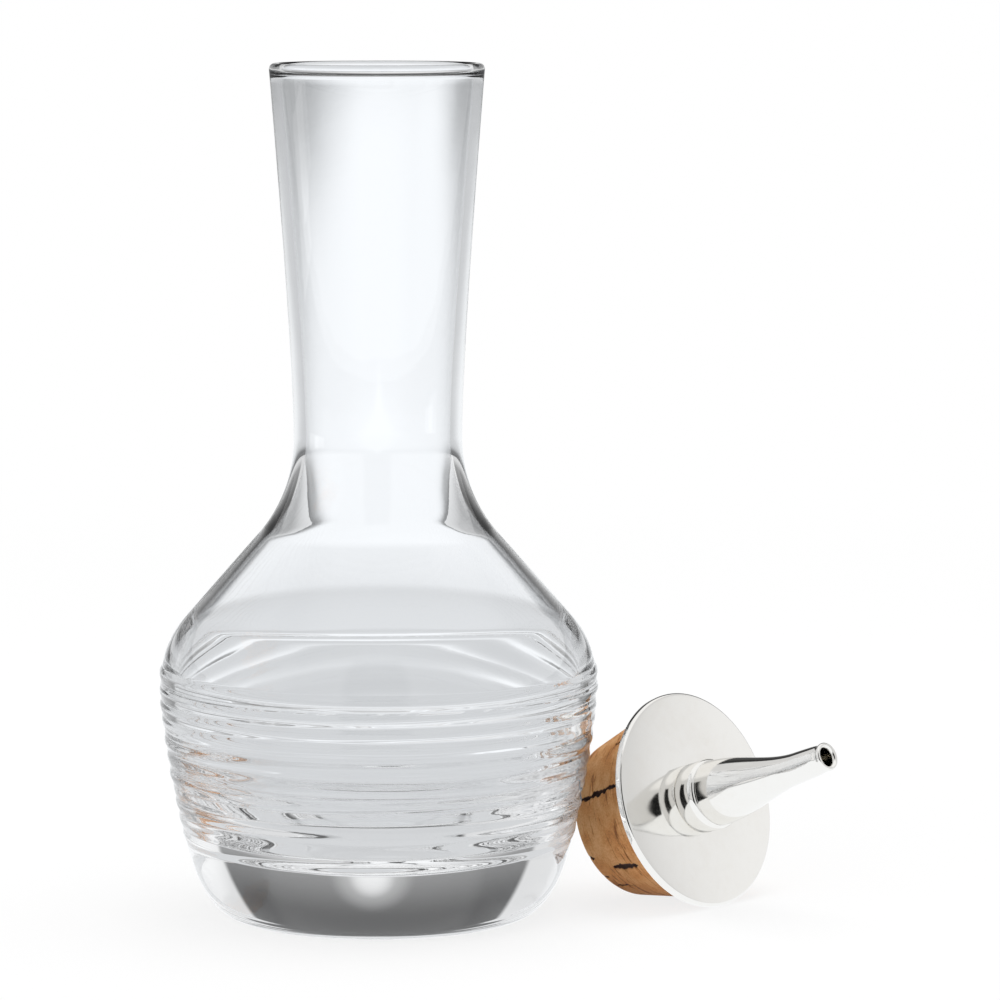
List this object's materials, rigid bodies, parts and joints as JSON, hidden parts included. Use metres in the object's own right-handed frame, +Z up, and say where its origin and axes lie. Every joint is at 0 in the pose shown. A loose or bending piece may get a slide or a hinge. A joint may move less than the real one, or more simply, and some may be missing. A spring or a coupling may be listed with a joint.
{
  "type": "dash bottle",
  "caption": "Clear glass dash bottle with a ring-wound bulb and a flared neck, and a loose cork-seated metal pouring stopper lying beside it.",
  "frame": {"origin": "centre of the bottle's flat foot, on the surface it stands on", "axes": "+Z up along the bottle's axis; +X towards the stopper that lies at the bottle's right; -Y towards the viewer"},
  "size_m": [0.0985, 0.0642, 0.124],
  "materials": {
    "clear_glass": "fire-polished clear soda glass",
    "natural_cork": "bare natural cork with dark pores",
    "polished_metal": "polished bright plate"
  },
  "bodies": {
    "bottle": {"bottle": "clear_glass"},
    "stopper": {"cork": "natural_cork", "flange": "polished_metal", "collar": "polished_metal", "spout": "polished_metal", "stem_tube": "polished_metal"}
  },
  "joints": [
    {"name": "stopper_lift", "type": "slide", "parent": "bottle", "child": "stopper", "axis": [0.6, 0, 0.8], "range_m": [0, 0.16]}
  ]
}
